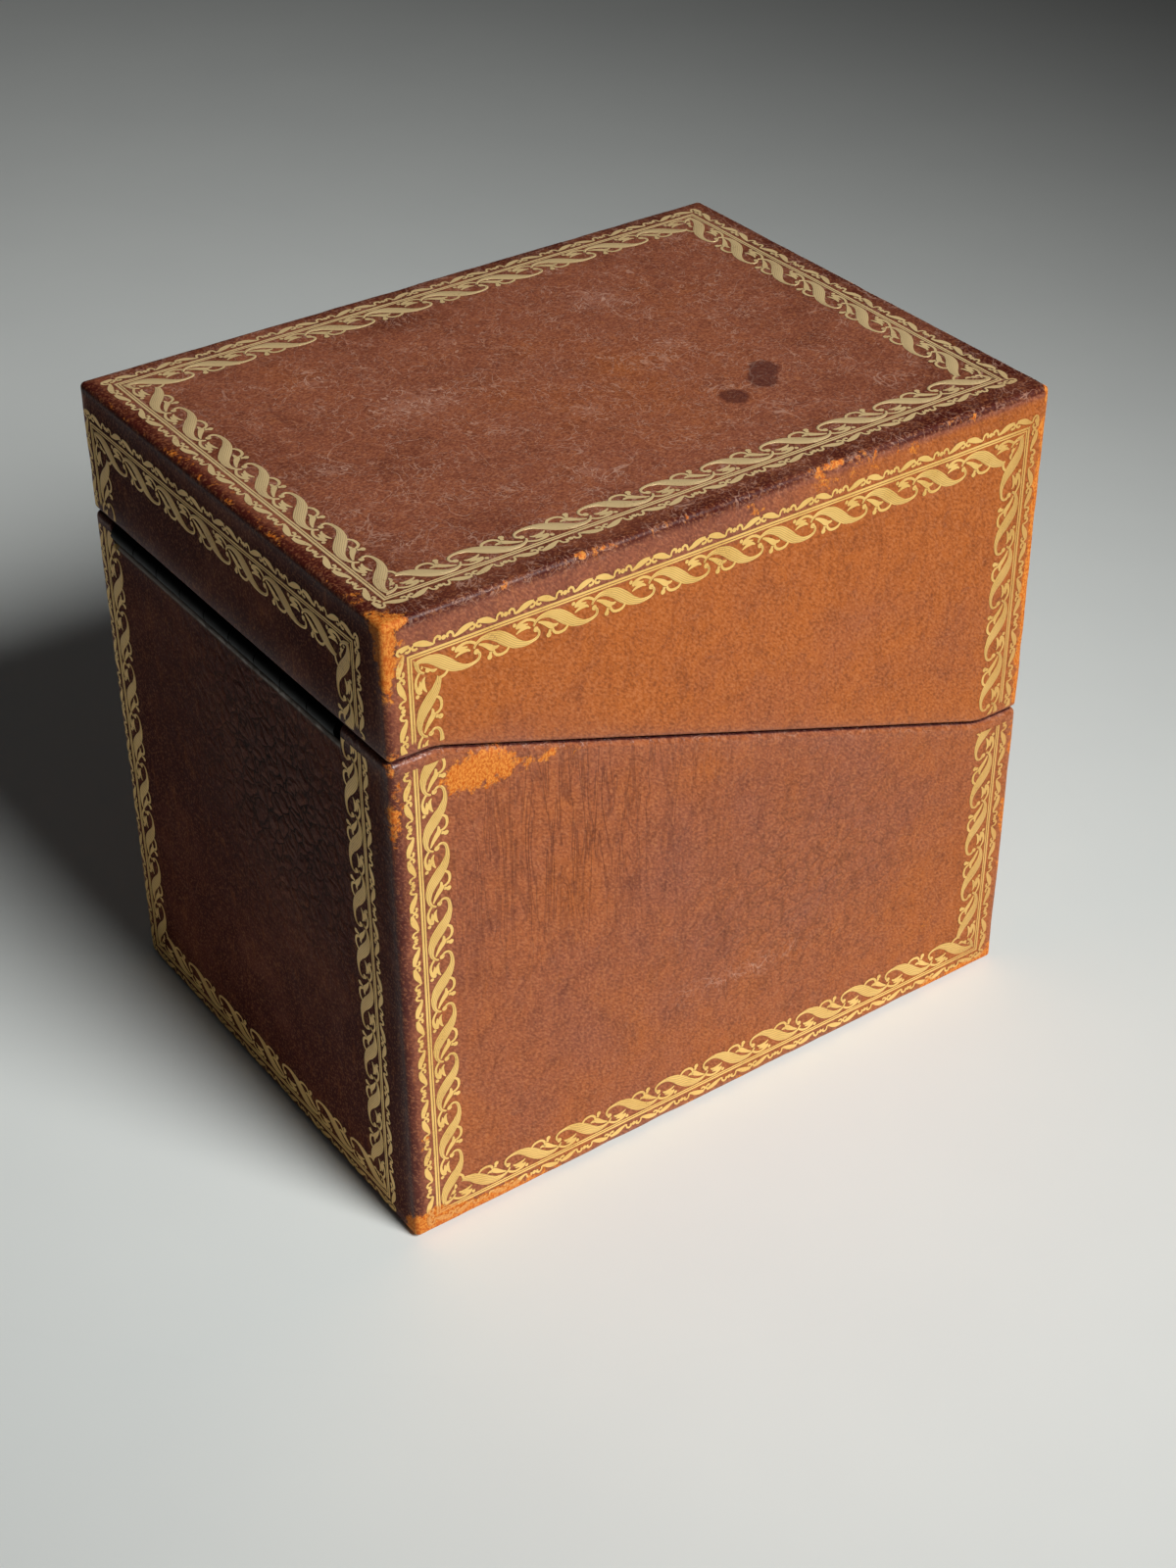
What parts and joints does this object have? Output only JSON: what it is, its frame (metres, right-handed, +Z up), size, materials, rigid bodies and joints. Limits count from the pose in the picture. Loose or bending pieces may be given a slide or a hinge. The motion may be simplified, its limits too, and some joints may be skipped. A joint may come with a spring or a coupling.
{
  "type": "leather keepsake box",
  "caption": "Upright leather-covered box with a deep slant-cut lid on a continuous back hinge, gilt roll borders on each face, and a lined inside for cards and letters.",
  "frame": {"origin": "centre of the box's footprint, on the surface that it stands on", "axes": "+X along the hinge, +Y from the low front rim to the hinged back, +Z up"},
  "size_m": [0.122, 0.1658, 0.154],
  "materials": {
    "carcass_wood": "bare planed softwood",
    "cover_leather": "waxed calf leather, worn at the edges",
    "lining_cloth": "ribbed silk cloth",
    "underside_felt": "thin felt",
    "hinge_steel": "blackened and polished"
  },
  "bodies": {
    "base": {"base_floor_board": "carcass_wood", "base_front_board": "carcass_wood", "base_back_board": "carcass_wood", "base_left_board": "carcass_wood", "base_right_board": "carcass_wood", "base_leather": "cover_leather", "base_underside": "underside_felt", "base_floor_lining": "lining_cloth", "base_front_lining": "lining_cloth", "base_back_lining": "lining_cloth", "base_left_lining": "lining_cloth", "base_right_lining": "lining_cloth", "base_hinge_leaf": "hinge_steel", "base_hinge_screws": "hinge_steel", "hinge_pin": "hinge_steel"},
    "lid": {"lid_top_board": "carcass_wood", "lid_front_board": "carcass_wood", "lid_back_board": "carcass_wood", "lid_left_board": "carcass_wood", "lid_right_board": "carcass_wood", "lid_side_leather": "cover_leather", "lid_top_leather": "cover_leather", "lid_ceiling_lining": "lining_cloth", "lid_front_lining": "lining_cloth", "lid_back_lining": "lining_cloth", "lid_left_lining": "lining_cloth", "lid_right_lining": "lining_cloth", "lid_hinge_leaf": "hinge_steel", "lid_hinge_screws": "hinge_steel"}
  },
  "joints": [
    {"name": "lid_hinge", "type": "hinge", "parent": "base", "child": "lid", "pos_m": [0.005, 0.081, 0.1211], "axis": [-1, 0, 0], "range_deg": [0, 125]}
  ]
}
